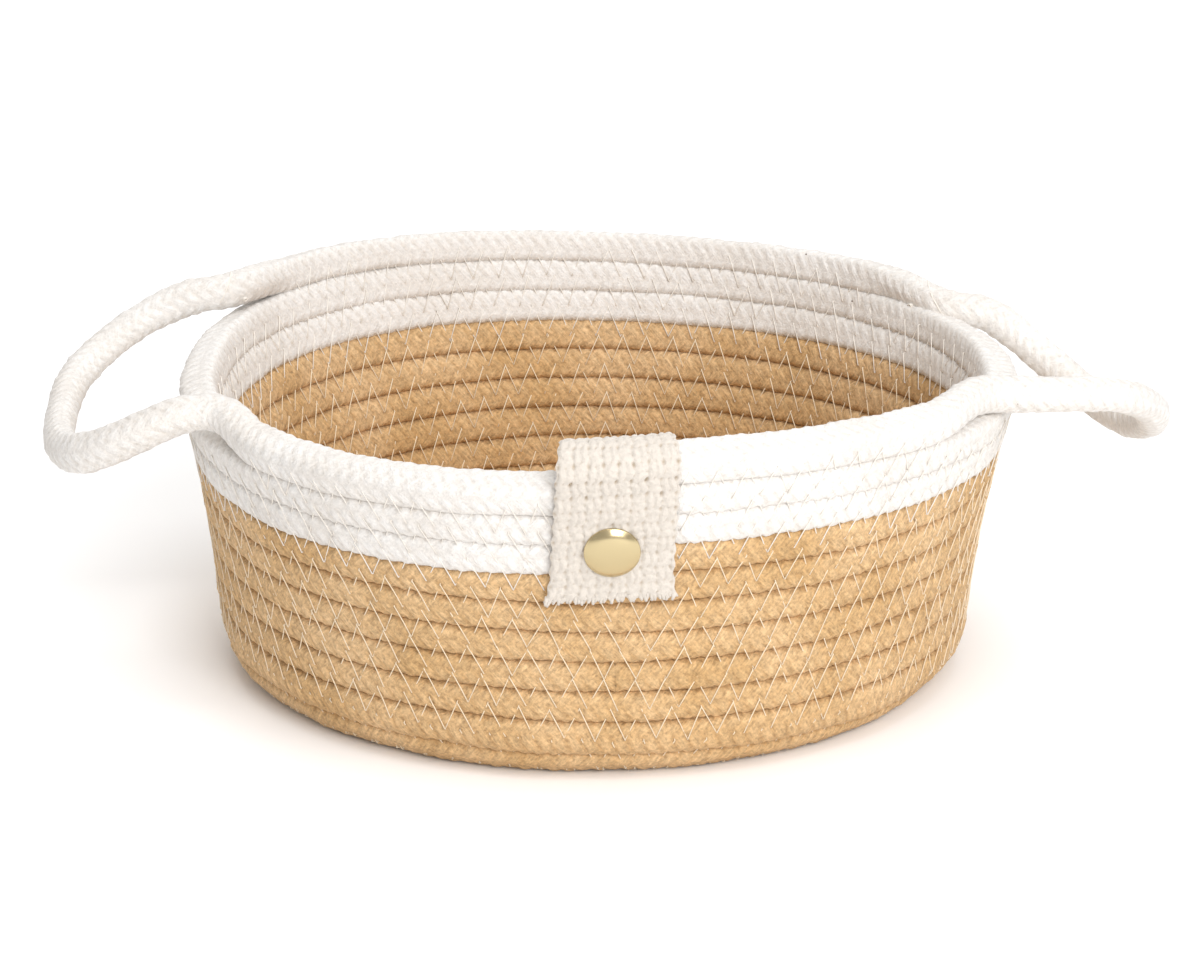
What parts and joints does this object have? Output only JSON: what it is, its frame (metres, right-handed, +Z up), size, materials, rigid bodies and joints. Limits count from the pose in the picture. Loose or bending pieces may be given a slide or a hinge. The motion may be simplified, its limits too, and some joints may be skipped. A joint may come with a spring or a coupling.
{
  "type": "rope basket",
  "caption": "Round storage basket coiled from tan and white cotton rope, with two rope loop handles and a folded webbing tab held by a brass cap rivet.",
  "frame": {"origin": "on the ground under the middle of the basket with its handles, 3.3 mm from the axis of its round floor", "axes": "+Z up, -Y towards the front with the webbing tab, the handles at +X and -X"},
  "size_m": [0.3001, 0.2288, 0.0949],
  "materials": {
    "tan_rope": "matt braided cotton",
    "white_rope": "matt braided cotton",
    "webbing": "coarse open weave",
    "rivet": "polished pale gold",
    "thread": "spun sewing thread"
  },
  "bodies": {
    "basket": {"tan_rope": "tan_rope", "white_rope": "white_rope", "rim_rope_back": "white_rope", "rim_rope_front": "white_rope", "webbing_tab": "webbing", "rivet_cap": "rivet", "rivet_post": "rivet"},
    "left_loop": {"handle_left": "white_rope"},
    "right_loop": {"handle_right": "white_rope"}
  },
  "joints": [
    {"name": "left_handle_flex", "type": "hinge", "parent": "basket", "child": "left_loop", "pos_m": [-0.10885, 0.00572, 0.08371], "axis": [0.0201, 0.999, 0.0399], "range_deg": [-40, 90], "stiffness_Nm_per_rad": 0.05},
    {"name": "right_handle_flex", "type": "hinge", "parent": "basket", "child": "right_loop", "pos_m": [0.10617, 0.00068, 0.08262], "axis": [-0.0051, -0.9993, 0.0365], "range_deg": [-40, 90], "stiffness_Nm_per_rad": 0.05}
  ]
}
